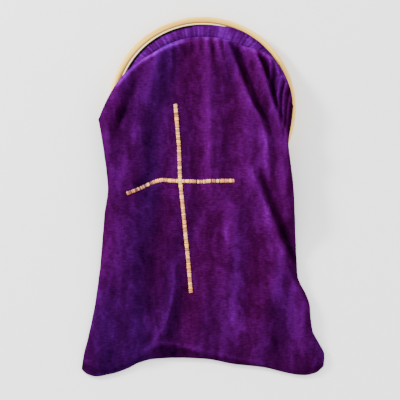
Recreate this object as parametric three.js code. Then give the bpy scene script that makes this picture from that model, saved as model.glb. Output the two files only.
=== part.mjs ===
// A church collection bag: a velvet pouch gathered onto a round bentwood hoop, with a braid cross on its front.
// It lies flat, mouth down. The hoop is at +Y, the pouch lies over it and runs towards -Y, +Z is up.
// Millimetres. Shapes are worked out from the hoop's centre, with the table at z = 0, and the finished
// group is then moved so that its origin is the middle of its footprint.

import * as THREE from 'three';

// Hoop
const HOOP_RADIUS = 93.5; // outside of the wood
const HOOP_HEIGHT = 11;
const OUTER_BAND = 6.5; // radial width of the outer bentwood band
const INNER_BAND = 1.8; // radial width of the thin inner band
const EDGE_ROUNDING = 1.6; // rounding of the outer band's edges
const BINDING = 1.4; // radial width of the dark binding inside the wood

// Header: the top hem of the pouch, folded round a soft roll
const HEADER_WIDTH = 10.6; // radial
const HEADER_RISE = 1.6; // how far it stands above the wood
const THREAD = 0.9; // thickness of the gathering thread

// Cloth
const VELVET = 1.6;
const LINING = 0.8;
const FIT = 0.3; // gap between pieces that touch
const SEAM = 2; // width of a closed seam
const HEADER_LAP = 2.5; // how far the panels lie on the header

// Pouch, seen from above
const LEFT_OVERHANG = 4.5; // how far the mouth end reaches past the hoop
const RIGHT_OVERHANG = -3.5;
const LEFT_BULGE = 7; // further slack beside the hoop
const RIGHT_BULGE = -2;
const WAIST_INSET = 1; // the pouch is this much narrower than the hoop where it leaves it
const FOLD_REACH = 3; // from the wood to the fold line
const POUCH_LENGTH = 160; // from the fold line to the middle of the hem
const FLARE = 28; // extra half width at the hem
const FLARE_POWER = 1.9;
const HEM_LOBE = 23; // how far the hem's corners hang below its middle
const CORNER_PULL = 10; // rounding of the hem's corners
const MOUTH_SPREAD = 75; // half of the angle that each panel takes at the mouth, in degrees

// Pouch, seen from the side
const CROWN = 7; // room between the two linings in the middle
const RISE_RUN = 25; // length over which the front rises from the header
const DROP_RUN = 32; // length over which the pouch comes down from the hoop to the table

// Cross: braid sewn on the front
const BRAID = 1; // thickness
const BRAID_WIDTH = 4.3;
const UPRIGHT_TOP_Y = 0;
const UPRIGHT_TOP_X = -27;
const UPRIGHT_FOLD_X = -21.5;
const UPRIGHT_END_X = -11.5;
const ARM_LEFT_X = -75;
const ARM_BEND_X = -39;
const ARM_RIGHT_X = 32;
const ARM_Y = -78.5;
const ARM_DROOP = 12.5; // how far the left end hangs below the rest of the arm
const LIFT_FLAT = 5; // the arm is fully lifted this near the upright
const LIFT_END = 15; // and back down on the velvet at this distance

// Mesh fineness
const RING_SEGMENTS = 60;
const COLUMNS = 12;
const UPPER_ROWS = 10;
const BACK_ROWS = 6;
const LOWER_ROWS = 15;
const SEAM_START_ROW = 3; // row of the front panel at which the side seams begin
const UPRIGHT_ROWS = 9; // rows of the lower panel that the upright covers

// Worked out from the sizes above
const BAND_INSIDE = HOOP_RADIUS - OUTER_BAND;
const INNER_BAND_OUTSIDE = BAND_INSIDE - FIT;
const BINDING_OUTSIDE = INNER_BAND_OUTSIDE - INNER_BAND - FIT;
const HEADER_OUTSIDE = BINDING_OUTSIDE - BINDING - FIT;
const HEADER_INSIDE = HEADER_OUTSIDE - HEADER_WIDTH;
const HEADER_TOP = HOOP_HEIGHT + HEADER_RISE;
const PANEL_EDGE = HEADER_INSIDE + HEADER_LAP;
const CLOTH_BASE = HEADER_TOP + FIT; // underside of the back panel where it crosses the hoop
const BACK_STACK = VELVET + FIT + LINING + FIT; // back panel and lining, with their gaps
const FRONT_STACK = LINING + FIT + VELVET; // front lining and panel
const FOLD_Y = -(HOOP_RADIUS + FOLD_REACH);
const HEM_Y = FOLD_Y - POUCH_LENGTH;
const WAIST = HOOP_RADIUS - WAIST_INSET;
const SPREAD = THREE.MathUtils.degToRad(MOUTH_SPREAD);
const CORNER_Y = PANEL_EDGE * Math.cos(SPREAD); // where the front's top edge meets its sides

const { lerp, clamp, smoothstep } = THREE.MathUtils;

const colours = {
  velvet: { color: 0x4e0a5c, roughness: 0.85, metalness: 0 },
  lining: { color: 0x1c1220, roughness: 0.7, metalness: 0 },
  wood: { color: 0xdcb984, roughness: 0.5, metalness: 0 },
  pale_wood: { color: 0xeedccb, roughness: 0.6, metalness: 0 },
  binding: { color: 0x120a14, roughness: 0.9, metalness: 0 },
  filler: { color: 0xd8d2c4, roughness: 0.9, metalness: 0 },
  braid: { color: 0xd9ae6a, roughness: 0.4, metalness: 0.3 },
};

const group = new THREE.Group();

/** Adds one named piece. */
function add(name, geometry, look) {
  const mesh = new THREE.Mesh(geometry, new THREE.MeshStandardMaterial(colours[look]));
  mesh.name = name;
  group.add(mesh);
}

/** A ring about the hoop's axis, from its section as [radius, z] points, outer side going up. */
function ring(section) {
  const points = [...section, section[0]].map(([r, z]) => new THREE.Vector2(r, z));
  const geometry = new THREE.LatheGeometry(points, RING_SEGMENTS);
  return geometry.rotateX(Math.PI / 2);
}

/** A section with cut corners. */
function cutRectangle(inside, outside, low, high, cut) {
  return [
    [inside + cut, low],
    [outside - cut, low],
    [outside, low + cut],
    [outside, high - cut],
    [outside - cut, high],
    [inside + cut, high],
    [inside, high - cut],
    [inside, low + cut],
  ];
}

/** An eight-sided round section. */
function roundSection(radius, z, size) {
  const sides = 8;
  return Array.from({ length: sides }, (_, i) => {
    const angle = ((i + 0.5) / sides) * 2 * Math.PI;
    return [radius + size * Math.cos(angle), z + size * Math.sin(angle)];
  });
}

/** Splits a block's underside along the same diagonals as its top, so that stacked sheets keep their gap. */
function matchDiagonals(geometry) {
  const { start, count } = geometry.groups[5];
  const { index } = geometry;
  for (let i = start; i < start + count; i += 6) {
    const [a, b, c, d] = [0, 1, 4, 2].map((k) => index.getX(i + k));
    [a, b, c, a, c, d].forEach((corner, k) => index.setX(i + k, corner));
  }
}

/** A block bent by place(u, v, w): u is -1 to 1 to the right, v is 0 to 1 towards -Y, w is 0 below and 1 above. */
function bentBlock(place, columns, rows) {
  const geometry = new THREE.BoxGeometry(2, 1, 1, columns, rows, 1);
  matchDiagonals(geometry);
  const points = geometry.attributes.position;
  for (let i = 0; i < points.count; i += 1) {
    const [x, y, z] = place(points.getX(i), 0.5 - points.getY(i), points.getZ(i) + 0.5);
    points.setXYZ(i, x, y, z);
  }
  geometry.computeVertexNormals();
  return geometry;
}

/** A sheet of even thickness, lying at the given height above surface(u, v). */
function sheet(surface, above, thickness, columns, rows) {
  return bentBlock((u, v, w) => {
    const [x, y, z] = surface(u, v);
    return [x, y, z + above + w * thickness];
  }, columns, rows);
}

// ---- Outline of the pouch -------------------------------------------------------------------------

/** Half width of the pouch at y, on the left (side = -1) or right (side = 1). */
function halfWidth(side, y) {
  if (y < FOLD_Y) {
    const down = Math.min(1, (FOLD_Y - y) / POUCH_LENGTH);
    return WAIST + FLARE * down ** FLARE_POWER;
  }
  const overhang = side < 0 ? LEFT_OVERHANG : RIGHT_OVERHANG;
  const bulge = side < 0 ? LEFT_BULGE : RIGHT_BULGE;
  const along = clamp((CORNER_Y - y) / (CORNER_Y - FOLD_Y), 0, 1);
  const start = (HOOP_RADIUS + overhang) * Math.sin(SPREAD);
  return lerp(start, WAIST, along) + bulge * Math.sin(Math.PI * along ** 0.6);
}

/** The edge of a panel that is gathered at the mouth: direction is 1 on the far side, -1 on the near side. */
function mouthEdge(u, direction) {
  const reach = HOOP_RADIUS + (u < 0 ? LEFT_OVERHANG : RIGHT_OVERHANG);
  return [reach * Math.sin(u * SPREAD), direction * PANEL_EDGE * Math.cos(u * SPREAD)];
}

/** Plan of an upper panel, between the mouth and the fold line. */
function upperPlan(u, v, direction) {
  const side = u < 0 ? -1 : 1;
  const foldEdge = FOLD_Y + FIT / 2;
  const [topX, topY] = mouthEdge(u, direction);
  const [cornerX, cornerY] = mouthEdge(side, direction);
  const sideY = lerp(cornerY, foldEdge, v);
  const pull = side * halfWidth(side, sideY) - lerp(cornerX, side * WAIST, v);
  return [lerp(topX, u * WAIST, v) + pull * u ** 4, lerp(topY, foldEdge, v)];
}

/** Plan of a lower panel, between the fold line and the hem; |u| or v above 1 is outside it. */
function lowerPlan(u, v) {
  const side = u < 0 ? -1 : 1;
  const corner = CORNER_PULL * u ** 8 * v ** 8;
  const width = halfWidth(side, lerp(FOLD_Y, HEM_Y, v));
  const hem = HEM_Y - HEM_LOBE * Math.abs(u) ** 3;
  return [u * width - 0.4 * side * corner, lerp(FOLD_Y - FIT / 2, hem, v) + corner];
}

// ---- Heights --------------------------------------------------------------------------------------

/** Height of the back panel's underside at y. */
function backHeight(y) {
  return CLOTH_BASE * (1 - smoothstep(FOLD_Y - y, 0, DROP_RUN));
}

/** Height of the front lining's underside on the hoop side of the fold. */
function upperFrontHeight(x, y) {
  const side = x < 0 ? -1 : 1;
  const across = clamp(x / halfWidth(side, y), -1, 1);
  const reach = HOOP_RADIUS + (side < 0 ? LEFT_OVERHANG : RIGHT_OVERHANG);
  const topEdge = Math.max(CORNER_Y, PANEL_EDGE * Math.sqrt(Math.max(0, 1 - (x / reach) ** 2)));
  const risen = smoothstep(topEdge - y, 0, RISE_RUN);
  return CLOTH_BASE + risen * (BACK_STACK + CROWN * (1 - across ** 2));
}

/** Height of the front lining's underside between the fold and the hem. */
function lowerFrontHeight(u, v) {
  const across = clamp(u, -1, 1);
  const open = 1 - Math.min(1, v) ** 8;
  const y = lerp(FOLD_Y, HEM_Y, v);
  return backHeight(y) + BACK_STACK + CROWN * open * (1 - across ** 2);
}

const upperFront = (u, v) => {
  const [x, y] = upperPlan(u, v, 1);
  return [x, y, upperFrontHeight(x, y)];
};
const upperBack = (u, v) => [...upperPlan(u, v, -1), CLOTH_BASE];
const lowerFront = (u, v) => [...lowerPlan(u, v), lowerFrontHeight(u, v)];
const lowerBack = (u, v) => [...lowerPlan(u, v), backHeight(lerp(FOLD_Y, HEM_Y, v))];

// ---- Hoop and header ------------------------------------------------------------------------------

function addHoop() {
  add('hoop_outer_band', ring(cutRectangle(BAND_INSIDE, HOOP_RADIUS, 0, HOOP_HEIGHT, EDGE_ROUNDING)), 'wood');
  const innerBand = cutRectangle(INNER_BAND_OUTSIDE - INNER_BAND, INNER_BAND_OUTSIDE, 0, HOOP_HEIGHT, 0.3);
  add('hoop_inner_band', ring(innerBand), 'pale_wood');
  const binding = cutRectangle(BINDING_OUTSIDE - BINDING, BINDING_OUTSIDE, FIT, HOOP_HEIGHT, 0.3);
  add('mouth_binding', ring(binding), 'binding');
}

/** The header is a folded hem: closed against the wood and open at the gathers, with a roll inside it. */
function addHeader() {
  const low = FIT;
  const cut = 1;
  add('mouth_header', ring([
    [HEADER_INSIDE, low],
    [HEADER_OUTSIDE - cut, low],
    [HEADER_OUTSIDE, low + cut],
    [HEADER_OUTSIDE, HEADER_TOP - cut],
    [HEADER_OUTSIDE - cut, HEADER_TOP],
    [HEADER_INSIDE, HEADER_TOP],
    [HEADER_INSIDE, HEADER_TOP - VELVET],
    [HEADER_OUTSIDE - VELVET, HEADER_TOP - VELVET],
    [HEADER_OUTSIDE - VELVET, low + VELVET],
    [HEADER_INSIDE, low + VELVET],
  ]), 'velvet');
  const middle = (low + HEADER_TOP) / 2;
  const rollRadius = (HEADER_TOP - low) / 2 - VELVET - FIT;
  const rollCentre = HEADER_OUTSIDE - VELVET - FIT - rollRadius;
  add('header_roll', ring(roundSection(rollCentre, middle, rollRadius)), 'filler');
  const threadCentre = rollCentre - rollRadius - FIT - THREAD / 2;
  add('gathering_thread', ring(roundSection(threadCentre, middle, THREAD / 2)), 'velvet');
}

// ---- Pouch ----------------------------------------------------------------------------------------

function addPanels() {
  const liningOnBack = VELVET + FIT;
  const velvetOnLining = LINING + FIT;
  add('front_panel_upper', sheet(upperFront, velvetOnLining, VELVET, COLUMNS, UPPER_ROWS), 'velvet');
  add('front_lining_upper', sheet(upperFront, 0, LINING, COLUMNS, UPPER_ROWS), 'lining');
  add('back_panel_upper', sheet(upperBack, 0, VELVET, COLUMNS, BACK_ROWS), 'velvet');
  add('back_lining_upper', sheet(upperBack, liningOnBack, LINING, COLUMNS, BACK_ROWS), 'lining');
  add('front_panel_lower', sheet(lowerFront, velvetOnLining, VELVET, COLUMNS, LOWER_ROWS), 'velvet');
  add('front_lining_lower', sheet(lowerFront, 0, LINING, COLUMNS, LOWER_ROWS), 'lining');
  add('back_panel_lower', sheet(lowerBack, 0, VELVET, COLUMNS, LOWER_ROWS), 'velvet');
  add('back_lining_lower', sheet(lowerBack, liningOnBack, LINING, COLUMNS, LOWER_ROWS), 'lining');
}

/** The seam that closes one side between the header and the fold line. */
function upperSeam(side) {
  const first = SEAM_START_ROW / UPPER_ROWS;
  return bentBlock((u, v, w) => {
    const y = lerp(CORNER_Y, FOLD_Y + FIT / 2, lerp(first, 1, v));
    const out = FIT + SEAM * (u * side + 1) / 2;
    return [side * (halfWidth(side, y) + out), y, CLOTH_BASE + w * (BACK_STACK + FRONT_STACK)];
  }, 1, UPPER_ROWS - SEAM_START_ROW);
}

/** The seam that closes one side between the fold line and the hem. */
function lowerSeam(side) {
  return bentBlock((u, v, w) => {
    const y = lerp(FOLD_Y, HEM_Y, v);
    const out = FIT + SEAM * (u * side + 1) / 2;
    const [x, planY] = lowerPlan(side * (1 + out / halfWidth(side, y)), v);
    return [x, planY, backHeight(y) + w * (BACK_STACK + FRONT_STACK)];
  }, 1, LOWER_ROWS);
}

/** The seam that closes the hem, from corner to corner. */
function hemSeam() {
  const reach = 1 + (FIT + SEAM) / (WAIST + FLARE);
  const columns = COLUMNS + 2; // the panels' own columns, and one past each side
  return bentBlock((u, v, w) => {
    const out = FIT + SEAM * v;
    const across = clamp(u * columns / COLUMNS, -reach, reach);
    const [x, y] = lowerPlan(across, 1 + out / POUCH_LENGTH);
    return [x, y, w * (BACK_STACK + FRONT_STACK)];
  }, columns, 1);
}

function addSeams() {
  for (const [name, side] of [['left', -1], ['right', 1]]) {
    add(`side_seam_upper_${name}`, upperSeam(side), 'velvet');
    add(`side_seam_lower_${name}`, lowerSeam(side), 'velvet');
  }
  add('hem_seam', hemSeam(), 'velvet');
}

// ---- Cross ----------------------------------------------------------------------------------------

/** Height of the velvet's top on the hoop side of the fold. */
function velvetTop(x, y) {
  return upperFrontHeight(x, y) + FRONT_STACK;
}

/** Where the middle of the upright is at y. */
function uprightX(y) {
  if (y > FOLD_Y) {
    return lerp(UPRIGHT_TOP_X, UPRIGHT_FOLD_X, (UPRIGHT_TOP_Y - y) / (UPRIGHT_TOP_Y - FOLD_Y));
  }
  const end = lerp(FOLD_Y, HEM_Y, UPRIGHT_ROWS / LOWER_ROWS);
  return lerp(UPRIGHT_FOLD_X, UPRIGHT_END_X, (FOLD_Y - y) / (FOLD_Y - end));
}

function upperUpright() {
  return bentBlock((u, v, w) => {
    const y = lerp(UPRIGHT_TOP_Y, FOLD_Y + FIT / 2, v);
    const x = uprightX(y) + u * BRAID_WIDTH / 2;
    return [x, y, velvetTop(x, y) + FIT + w * BRAID];
  }, 1, UPPER_ROWS);
}

function lowerUpright() {
  return bentBlock((u, v, w) => {
    const down = v * UPRIGHT_ROWS / LOWER_ROWS;
    const y = lerp(FOLD_Y, HEM_Y, down);
    const across = (uprightX(y) + u * BRAID_WIDTH / 2) / halfWidth(-1, y);
    const [x, planY] = lowerPlan(across, down);
    return [x, planY, lowerFrontHeight(across, down) + FRONT_STACK + FIT + w * BRAID];
  }, 1, UPRIGHT_ROWS);
}

/** The arm runs across the front, droops at its left end and passes over the upright. */
function arm() {
  return bentBlock((u, v, w) => {
    const x = lerp(ARM_LEFT_X, ARM_RIGHT_X, (u + 1) / 2);
    const droop = ARM_DROOP * clamp((ARM_BEND_X - x) / (ARM_BEND_X - ARM_LEFT_X), 0, 1);
    const y = ARM_Y - droop + (0.5 - v) * BRAID_WIDTH;
    const away = Math.abs(x - uprightX(y));
    const lift = (BRAID + FIT) * (1 - smoothstep(away, LIFT_FLAT, LIFT_END));
    return [x, y, velvetTop(x, y) + FIT + lift + w * BRAID];
  }, 3 * COLUMNS, 1);
}

function addCross() {
  add('cross_upright_upper', upperUpright(), 'braid');
  add('cross_upright_lower', lowerUpright(), 'braid');
  add('cross_arm', arm(), 'braid');
}

/** Moves the group so that its origin is the middle of its footprint, on the table. */
function centre() {
  const box = new THREE.Box3().setFromObject(group, true);
  group.position.set(-(box.min.x + box.max.x) / 2, -(box.min.y + box.max.y) / 2, -box.min.z);
  group.updateMatrixWorld(true);
}

addHoop();
addHeader();
addPanels();
addSeams();
addCross();
centre();

export default group;
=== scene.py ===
"""A church collection bag, as looks around its CAD.

A gathered velvet pouch with a gold cross hangs from a bentwood hoop. It lies on a table, mouth down.
Lengths are in millimetres until to_frame turns them into metres. The depths of bumps and the
stage are in metres. Angles run from +X, in degrees unless they are called angle or turn.
"""

import math

import bpy
import numpy as np
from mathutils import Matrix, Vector
from mathutils.bvhtree import BVHTree


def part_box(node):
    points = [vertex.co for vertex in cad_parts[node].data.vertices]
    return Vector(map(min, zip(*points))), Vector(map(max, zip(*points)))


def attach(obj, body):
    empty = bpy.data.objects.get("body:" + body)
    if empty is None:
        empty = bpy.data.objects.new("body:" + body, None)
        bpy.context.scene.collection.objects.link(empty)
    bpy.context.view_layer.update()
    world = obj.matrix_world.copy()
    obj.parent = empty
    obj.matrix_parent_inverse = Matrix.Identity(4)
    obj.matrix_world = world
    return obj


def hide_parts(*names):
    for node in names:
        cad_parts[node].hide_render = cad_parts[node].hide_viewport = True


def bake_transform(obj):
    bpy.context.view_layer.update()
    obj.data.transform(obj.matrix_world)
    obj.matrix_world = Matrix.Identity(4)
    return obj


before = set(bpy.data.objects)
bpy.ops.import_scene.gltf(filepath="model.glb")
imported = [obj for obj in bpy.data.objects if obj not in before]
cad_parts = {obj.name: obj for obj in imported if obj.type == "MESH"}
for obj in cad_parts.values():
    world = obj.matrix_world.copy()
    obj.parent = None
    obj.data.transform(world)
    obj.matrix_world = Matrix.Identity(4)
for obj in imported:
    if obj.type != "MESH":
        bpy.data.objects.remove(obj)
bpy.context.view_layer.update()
rng = np.random.default_rng(7)

# ---- Places, in millimetres from the hoop's centre, with the table at z = 0 --

MM = 0.001
band_low, band_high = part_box("hoop_outer_band")
inner_low, inner_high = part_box("hoop_inner_band")
binding_low, binding_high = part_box("mouth_binding")
header_low, header_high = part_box("mouth_header")
HOOP_Y = (band_low.y + band_high.y) / 2 / MM
HOOP_RADIUS = (band_high.y - band_low.y) / 2 / MM
HOOP_HEIGHT = band_high.z / MM
INNER_RADIUS = (inner_high.y - inner_low.y) / 2 / MM
BINDING_RADIUS = (binding_high.y - binding_low.y) / 2 / MM
HEADER_RADIUS = (header_high.y - header_low.y) / 2 / MM
HEADER_TOP = header_high.z / MM
HEADER_WIDTH = 12.3  # of the stuffed hem round the mouth, in plan
STITCH_ROOM = 0.7  # between the header and the stitches that gather it
GATHER_RADIUS = HEADER_RADIUS - HEADER_WIDTH - STITCH_ROOM
GATHER_MIDDLE = 6.4  # how high the gathering stitches lie
GAP = 0.3  # from band to band and from band to binding, as in the CAD
NO_SLOPE = 1e-12  # keeps a level stretch of a curve from dividing by 0


def smooth(x, low, high):
    """0 up to low, 1 from high, and a smooth rise between."""
    t = np.clip((np.asarray(x, float) - low) / (high - low), 0, 1)
    return t * t * (3 - 2 * t)


def curve(*points):
    """A smooth function through (x, y) points, with no overshoot between them."""
    xs, ys = np.array(sorted(points), float).T
    slope = np.diff(ys) / np.diff(xs)
    before, after = slope[:-1], slope[1:]
    between = 2 / (1 / (after + NO_SLOPE) + 1 / (before + NO_SLOPE))
    inner = np.where(after * before > 0, between, 0)
    tangent = np.concatenate([[slope[0]], inner, [slope[-1]]])

    def at(x):
        x = np.clip(x, xs[0], xs[-1])
        i = np.clip(np.searchsorted(xs, x, side="right") - 1, 0, len(slope) - 1)
        width = xs[i + 1] - xs[i]
        t = (x - xs[i]) / width
        return (
            (2 * t**3 - 3 * t**2 + 1) * ys[i]
            + (t**3 - 2 * t**2 + t) * width * tangent[i]
            + (3 * t**2 - 2 * t**3) * ys[i + 1]
            + (t**3 - t**2) * width * tangent[i + 1]
        )

    return at


# ---- Outline of the pouch, seen from above -----------------------------------

# Distance of the front's rolled top edge from the hoop's centre, by angle from +X.
front_edge = curve(
    (0, 90.5), (8, 90), (17, 88.8), (24, 88), (33, 86.8), (40, 84.2), (46, 79.8), (53, 75.8), (62, 73),
    (75, 71.8), (90, 70.8), (113, 71.8), (125, 73), (134, 74.6), (145, 79), (156, 84.2), (165.5, 89),
    (171.6, 92.6), (180, 98.2), (188, 105),
)
# The same for the back, round the near side.
back_edge = curve(
    (188, 105), (194, 90), (202, 78), (213, 72), (225, 70.6), (315, 70.6), (335, 73), (350, 81), (360, 90.5),
)
# Where the two sides lie, as (y, x) points from the mouth to the hem.
left_side = curve(
    (-14.6, -104), (-40, -99.5), (-65, -96), (-88, -94), (-112, -97.5), (-136, -99.5), (-160, -101.5),
    (-185, -104.5), (-210, -108.5), (-234, -113.5), (-252, -118), (-266, -120),
)
right_side = curve(
    (0, 90.5), (-9, 89.4), (-20, 88), (-38, 85.4), (-65, 88), (-88, 90.5), (-112, 91.5), (-136, 92.5),
    (-160, 93.5), (-173, 94.5), (-181, 97.5), (-190, 102.5), (-203, 106.5), (-216, 107.5), (-228, 109.5),
    (-240, 115.5), (-252, 121), (-263, 120),
)
# The hem, as (x, y) points.
hem_line = curve(
    (-120, -266), (-114, -271.5), (-105, -273.8), (-92, -271.5), (-77.5, -267), (-64, -260.4),
    (-51.5, -256.6), (-25, -255.0), (0, -255.9), (33.5, -261.7), (59.5, -264.5), (82.5, -270),
    (99.5, -272.6), (111, -270.5), (120, -263),
)
# Where the front turns down to the hem: the edge of the strip along the bottom, which is painted darker as
# shade.
turn_line = curve(
    (-120, -262), (-100, -268), (-80, -264), (-56, -251), (-40.5, -243), (-20, -246.5), (-3.5, -250.5),
    (20, -255.5), (42.5, -259.8), (70, -265), (95, -270), (120, -261),
)
TURN_TOP = -200  # the strip along the hem is looked for below this y
LEFT_CORNER = 188.0  # where the front's top edge meets the back's on the left; on the right it is at 0
HEM_LEFT_X, HEM_RIGHT_X = -120.0, 120.0


def polar(radius, degrees):
    """Points in plan at that distance from the hoop's centre."""
    angle = np.radians(degrees)
    return np.stack([radius * np.cos(angle), radius * np.sin(angle)], -1)


def front_top(u):
    """The front's top edge in plan: u is -1 at its left end and 1 at its right end."""
    degrees = LEFT_CORNER * (1 - u) / 2
    return polar(front_edge(degrees), degrees)


def back_top(u):
    """The back's top edge in plan, in the same way."""
    degrees = LEFT_CORNER + (360 - LEFT_CORNER) * (u + 1) / 2
    return polar(back_edge(degrees), degrees)


def side_line(side_curve, top_y, hem_y, v):
    """Points down a side: v is 0 at the top and 1 at the hem."""
    y = top_y + (hem_y - top_y) * v
    return np.stack([side_curve(y), y], -1)


def plan(u, v, top):
    """Where the cloth's point (u, v) lies, from its four edges.

    u is -1 to 1 from left to right, and v is 0 to 1 from the top edge down to the hem.
    """
    across = (u + 1) / 2
    hem_x = HEM_LEFT_X + (HEM_RIGHT_X - HEM_LEFT_X) * across
    low = np.stack([hem_x, hem_line(hem_x)], -1)
    high = top(u)
    left_top, right_top = top(np.array(-1.0)), top(np.array(1.0))
    left_end, right_end = hem_line(HEM_LEFT_X), hem_line(HEM_RIGHT_X)
    left = side_line(left_side, left_top[1], left_end, v)
    right = side_line(right_side, right_top[1], right_end, v)
    a, b = across[..., None], v[..., None]
    corners = (
        (1 - a) * (1 - b) * left_top + a * (1 - b) * right_top
        + (1 - a) * b * np.array([HEM_LEFT_X, left_end]) + a * b * np.array([HEM_RIGHT_X, right_end])
    )
    return (1 - b) * high + b * low + (1 - a) * left + a * right - corners


# ---- Folds of the front ------------------------------------------------------

# Each fold: its line as (y, x) points, how high it stands (below 0 for a valley), and its width on the
# left and on the right.
FOLDS = [
    (((31, -71.5), (22, -70.5), (9, -73.5), (-12, -80.5), (-28, -87)), -4.6, 5, 4),
    (((20, -84), (-12, -95), (-50, -95)), 2.6, 6, 5),
    (((54, -17), (43, -23.5), (27, -32.5), (-6, -43.5), (-72, -55.5), (-98, -72)), -3.2, 11, 7),
    (((58, -30.5), (41, -30.5), (30, -32)), 1.8, 2.2, 2.2),
    (((44, -46), (10, -56), (-30, -66), (-80, -80)), 2.4, 7, 6),
    (((68, 5.5), (0, 6.5), (-98, 8)), 2.8, 8, 4.5),
    (((66, 15.5), (46, 20.5), (20, 26)), 1.8, 3, 2.2),
    (((66, 24.5), (48, 30.5), (28, 38), (11.5, 43.5), (-2, 50.5), (-22, 62.5), (-72, 66)), 5.2, 8, 2.6),
    (((64, 29), (49.5, 34.5), (32, 41.5), (17.5, 47), (0, 53.5), (-14, 60.5), (-36, 67)), -5.6, 2.6, 4.5),
    (((59.5, 51.5), (42, 58), (23, 64.5), (0, 71.5), (-18, 78), (-34, 83.5), (-46, 85.5)), 6.4, 7, 2.4),
    (((50, 57), (34.5, 63.5), (17.5, 68), (1, 72.5), (-11, 77), (-30, 81.5)), -6.4, 1.8, 2.6),
    (
        ((-76, 58.5), (-83, 61), (-97, 66.5), (-112, 72), (-126, 78.5), (-140, 84), (-154, 90), (-163, 93.5)),
        -5.2, 2.4, 5.5,
    ),
    (
        ((-70, 50), (-83, 54), (-97, 59.5), (-112, 65.5), (-126, 71.5), (-140, 77), (-154, 83), (-166, 90)),
        3.4, 8, 2.6,
    ),
    (((-60, 80), (-95, 84.5), (-118, 88.5)), 2.4, 4, 3),
    (((-157, 84.5), (-195, 103.5)), -3.4, 3.5, 3.5),
    (((-165, -27.5), (-185, -28.5), (-224, -37.5), (-240, -46.5), (-255, -57.5)), 2.8, 4, 2.2),
    (((-190, -20), (-226, -29), (-246, -38)), -2.6, 6, 6),
    (((-100, -30), (-160, -34), (-215, -50)), -2.0, 15, 12),
    (((-110, 30), (-170, 28), (-230, 40)), 2.4, 15, 12),
    (((-120, -80), (-190, -84), (-250, -92)), 2.2, 14, 12),
    (((-190, 88), (-225, 94), (-262, 104)), 2.8, 10, 8),
    (((-200, 70), (-235, 74), (-258, 82)), -2.2, 9, 7),
]
FOLD_FADE = 16.0
SIDE_FADE = 5.0


def fold_height(x, y, folds, fade):
    """The folds' height at each point. Each fades out over about that distance at its two ends."""
    total = np.zeros_like(x)
    for line, height, left_width, right_width in folds:
        centre = curve(*line)
        ends = [p[0] for p in line]
        off = x - centre(y)
        width = np.where(off < 0, left_width, right_width)
        low_end = smooth(y, min(ends) - fade, min(ends) + fade)
        high_end = 1 - smooth(y, max(ends) - 0.1 * fade, max(ends) + 0.75 * fade)
        total += height * low_end * high_end * np.exp(-((off / width) ** 2))
    return total


def waves(x, y, length, seed, stretch=3.0):
    """Soft irregular ripples of about that wavelength, stretched along Y, from about -1 to 1."""
    draw = np.random.default_rng(seed)
    total = np.zeros_like(x)
    count = 9
    for _ in range(count):
        angle = draw.normal(0, 0.5)
        size = length * draw.uniform(0.7, 1.5)
        kx, ky = 2 * np.pi * np.cos(angle) / size, 2 * np.pi * np.sin(angle) / size / stretch
        total += np.sin(kx * x + ky * y + draw.uniform(0, 2 * np.pi))
    return total / math.sqrt(count) / 1.4


PLEATS = 128  # the narrow pleats round the header
PUCKER_REACH = 9  # how far from the stitches they have faded to about a third


def puckers(degrees, depth, seed):
    """Gathers along the header: narrow pleats, uneven in width and strength, that fade with depth."""
    draw = np.random.default_rng(seed)
    angle = np.radians(degrees)
    bent = angle + 0.022 * np.sin(5 * angle + 1) + 0.012 * np.sin(13 * angle + 2) + 0.004 * np.sin(31 * angle)
    sharp = 1 - 2 * np.abs(np.sin(PLEATS / 2 * bent)) ** 0.7
    fine = sharp + 0.6 * np.sin(79 * bent + 1.3) + 0.4 * np.sin(47 * bent + 0.4)
    strength = 0.65 + 0.35 * np.sin(7 * angle + draw.uniform(0, 6)) * np.sin(3 * angle + 1)
    return fine * strength * np.exp(-np.maximum(depth, 0) / PUCKER_REACH)


# The close pleats between the right-hand ridge and the wood, written like FOLDS.
SIDE_PLEATS = [
    (((50, 66), (42, 68.5), (32, 67.5), (21, 66.5)), 2.4, 1.5, 1.7),
    (((45, 70), (36, 72.5), (22, 71), (10, 71.5)), -2.4, 1.4, 1.6),
    (((42, 74.5), (32, 76.5), (22, 74.5)), 1.8, 1.4, 1.5),
    (((29, 79.5), (16, 76.5), (4, 75.5), (-12, 76)), 2.8, 1.6, 1.5),
    (((24, 82), (8, 79), (-6, 79)), -2.6, 1.3, 1.4),
    (((20, 84), (10, 81.6), (-1, 80.5), (-24, 80)), 2.6, 1.4, 1.4),
    (((14, 87), (0, 84.5), (-22, 83)), -2.6, 1.4, 1.6),
    (((12, 88.6), (-4, 85.8), (-30, 83.2)), 2.2, 1.3, 1.3),
    (((0, 88.4), (-14, 87.2), (-30, 85.4)), -3.0, 1.6, 2.4),
]


def side_pleats(x, y):
    """The height of the close pleats on the right."""
    return 0.65 * fold_height(x, y, SIDE_PLEATS, SIDE_FADE)


# Pleats that start at the gathers and run down the front: from what angle, how long, how high, how wide.
START_PLEATS = [
    (99, 20, -1.6, 1.1), (95, 30, 1.6, 1.6), (91, 24, -1.8, 1.2), (87, 26, 1.8, 1.5), (83, 34, -2.4, 1.3),
    (79, 24, 1.8, 1.5), (75, 34, -2.2, 1.3), (70, 26, 1.4, 1.6), (62, 22, -1.6, 1.3), (56, 26, 1.2, 1.5),
    (46, 24, -1.8, 1.3), (36, 26, 1.6, 1.6), (30, 26, -2.2, 1.4), (24, 22, 1.6, 1.5), (107, 22, 1.2, 1.6),
    (114, 24, -1.4, 1.5), (124, 20, 1.2, 1.8), (133, 18, -1.2, 1.5),
]


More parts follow.
